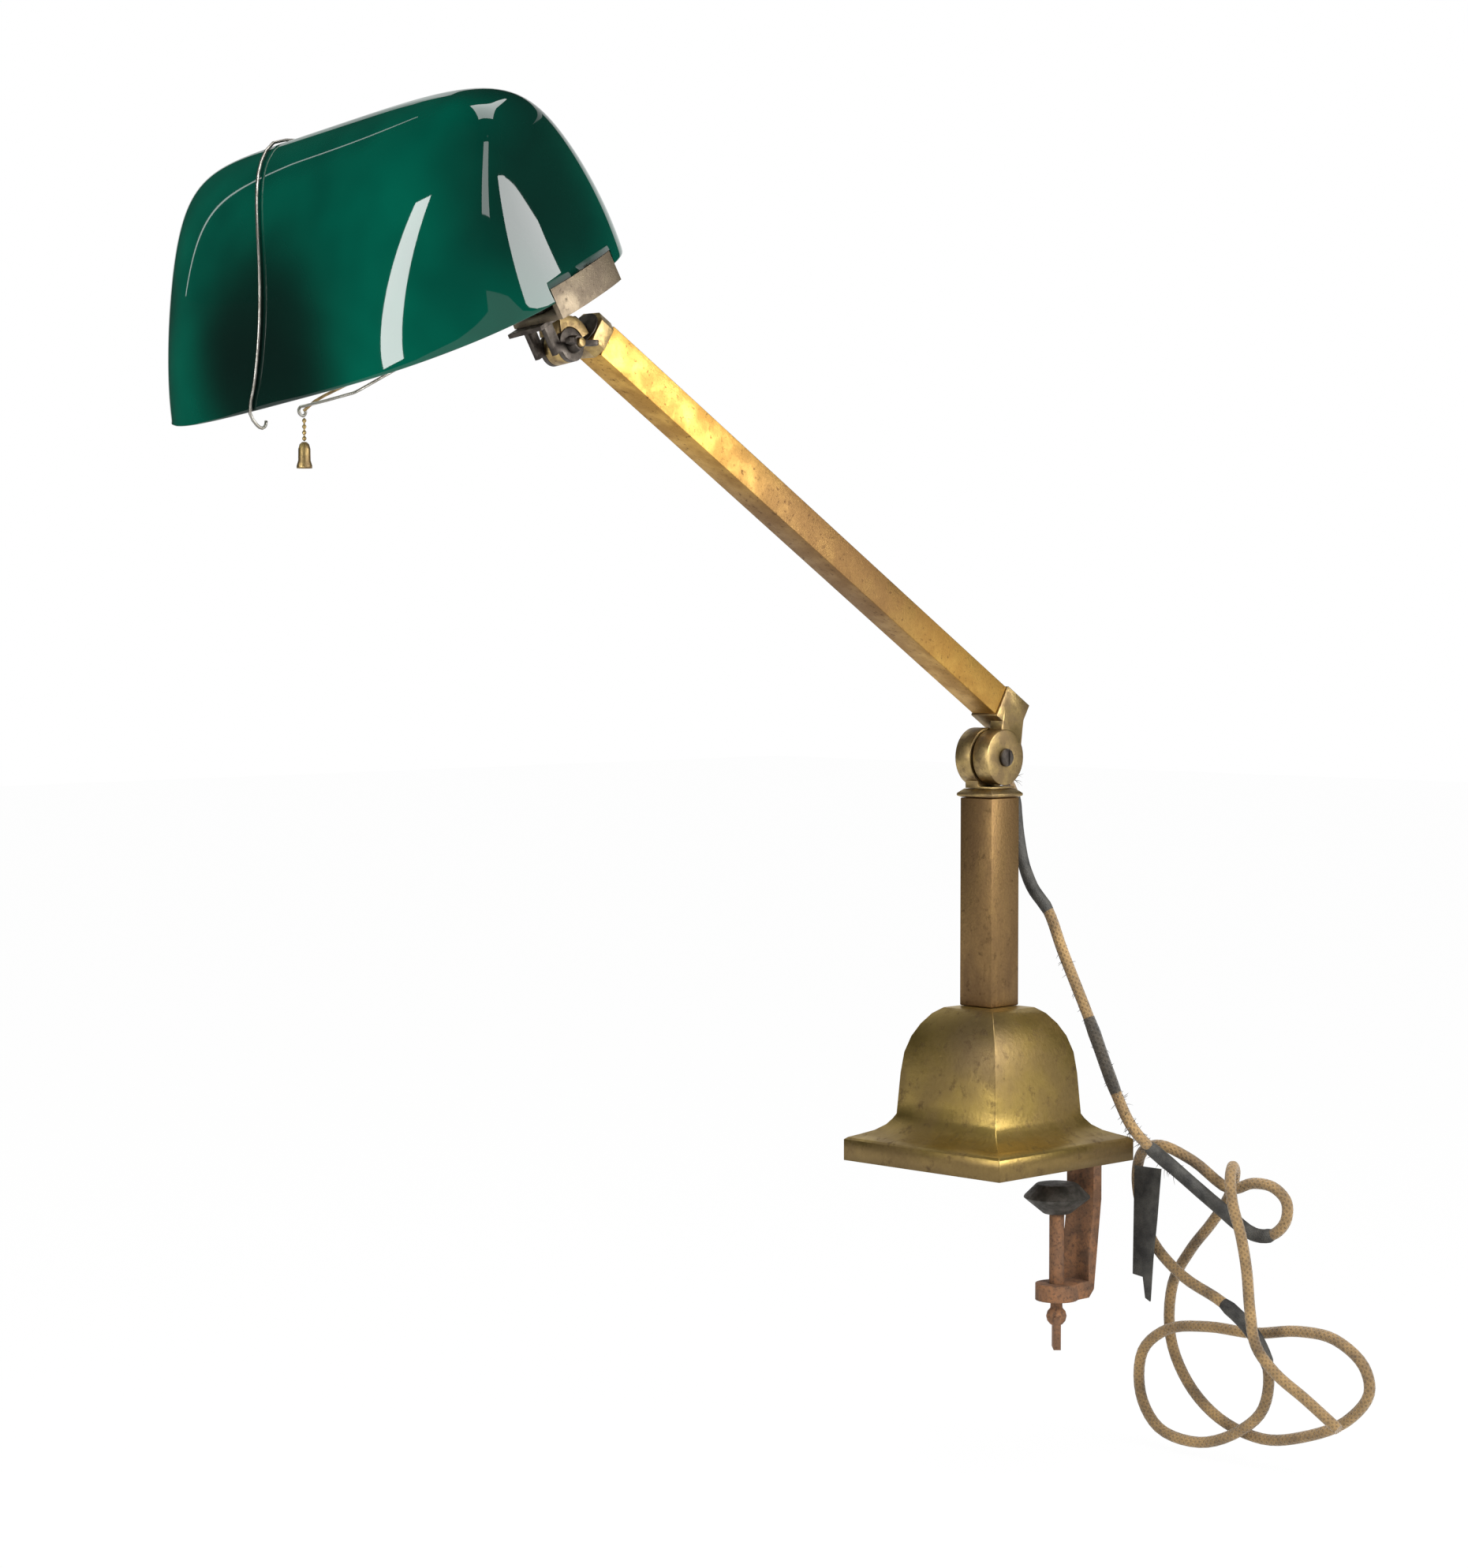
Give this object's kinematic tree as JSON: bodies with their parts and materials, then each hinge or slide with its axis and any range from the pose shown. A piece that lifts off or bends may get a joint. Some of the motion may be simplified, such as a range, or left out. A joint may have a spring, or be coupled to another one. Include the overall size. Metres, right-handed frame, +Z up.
{
  "type": "clamp-on bankers lamp",
  "caption": "Desk lamp with a half-round glass shade on a tilting square arm, a bell base on a square column, and a screw clamp under the base for a desk edge.",
  "frame": {"origin": "centre of the base's underside, on the desk top", "axes": "+Z up; the arm reaches out along -Y and the clamp is at +Y, over the rear edge of the desk; the arm's knuckle turns about X"},
  "size_m": [0.4608, 0.6049, 0.8044],
  "materials": {
    "aged_brass": "aged, satin",
    "rusted_iron": "rusted",
    "dark_iron": "dark, oily",
    "dark_steel": "dull, tarnished",
    "pale_brass": "dull, worn",
    "bright_brass": "polished",
    "green_glass": "cased, glossy",
    "fibre": "matte",
    "clear_glass": "clear",
    "wire_steel": "plain wire",
    "braided_cloth": "braided",
    "friction_tape": "worn, matte"
  },
  "bodies": {
    "base": {"bell_base": "aged_brass", "clamp_frame": "rusted_iron", "stem_pipe": "dark_steel", "stem_nut": "dark_steel", "column_tube": "aged_brass", "column_cap": "pale_brass", "column_knuckle": "pale_brass", "cord_bush": "dark_steel", "friction_washer": "dark_steel", "pivot_screw": "dark_steel", "pivot_nut": "dark_steel", "cord": "braided_cloth", "tape_strip": "friction_tape"},
    "clamp_pad_part": {"clamp_pad": "dark_iron"},
    "clamp_screw_part": {"clamp_screw": "rusted_iron"},
    "arm": {"arm_knuckle": "pale_brass", "arm_tube": "bright_brass", "arm_collar": "pale_brass", "swivel_screw": "dark_steel", "swivel_washer": "dark_steel"},
    "neck_part": {"neck": "bright_brass"},
    "head": {"tilt_fork": "dark_steel", "tilt_bolt": "pale_brass", "shade_bracket": "pale_brass", "bracket_rivet_front": "dark_steel", "bracket_rivet_rear": "dark_steel", "glass_shade": "green_glass", "socket_arm": "dark_steel", "socket_nipple": "dark_steel", "socket_nut": "dark_steel", "socket_cap": "pale_brass", "socket_shell": "pale_brass", "socket_insulator": "fibre", "bulb_base": "pale_brass", "bulb_glass": "clear_glass", "chain_outlet": "dark_steel", "chain_lead": "pale_brass", "wire_bail": "wire_steel"},
    "wing_nut_part": {"wing_nut": "dark_steel"},
    "pull": {"pull_chain": "pale_brass", "pull_bell": "aged_brass"}
  },
  "joints": [
    {"name": "screw_feed", "type": "slide", "parent": "base", "child": "clamp_pad_part", "axis": [0, 0, 1], "range_m": [-0.04, 0.005]},
    {"name": "screw_turn", "type": "hinge", "parent": "clamp_pad_part", "child": "clamp_screw_part", "pos_m": [0, 0.066, -0.06], "axis": [0, 0, 1], "range_deg": [-7200, 900]},
    {"name": "arm_tilt", "type": "hinge", "parent": "base", "child": "arm", "pos_m": [0, 0, 0.2497], "axis": [1, 0, 0], "range_deg": [-36, 36.5]},
    {"name": "head_swivel", "type": "hinge", "parent": "arm", "child": "neck_part", "pos_m": [0, -0.339, 0.49192], "axis": [0, -0.8526, 0.5225], "range_deg": [-74, 106]},
    {"name": "head_tilt", "type": "hinge", "parent": "neck_part", "child": "head", "pos_m": [0.00317, -0.35782, 0.48148], "axis": [0.986, 0.0871, 0.1422], "range_deg": [-22, 36]},
    {"name": "wing_nut_turn", "type": "hinge", "parent": "head", "child": "wing_nut_part", "pos_m": [0.00317, -0.35782, 0.48148], "axis": [0.986, 0.0871, 0.1422], "range_deg": [-360, 360]},
    {"name": "chain_pull", "type": "slide", "parent": "head", "child": "pull", "axis": [0, 0, -1], "range_m": [0, 0.008], "stiffness_N_per_m": 250}
  ],
  "couplings": [
    {"joint": "screw_turn", "follows": "screw_feed", "rad_per_m": 3141.6}
  ]
}
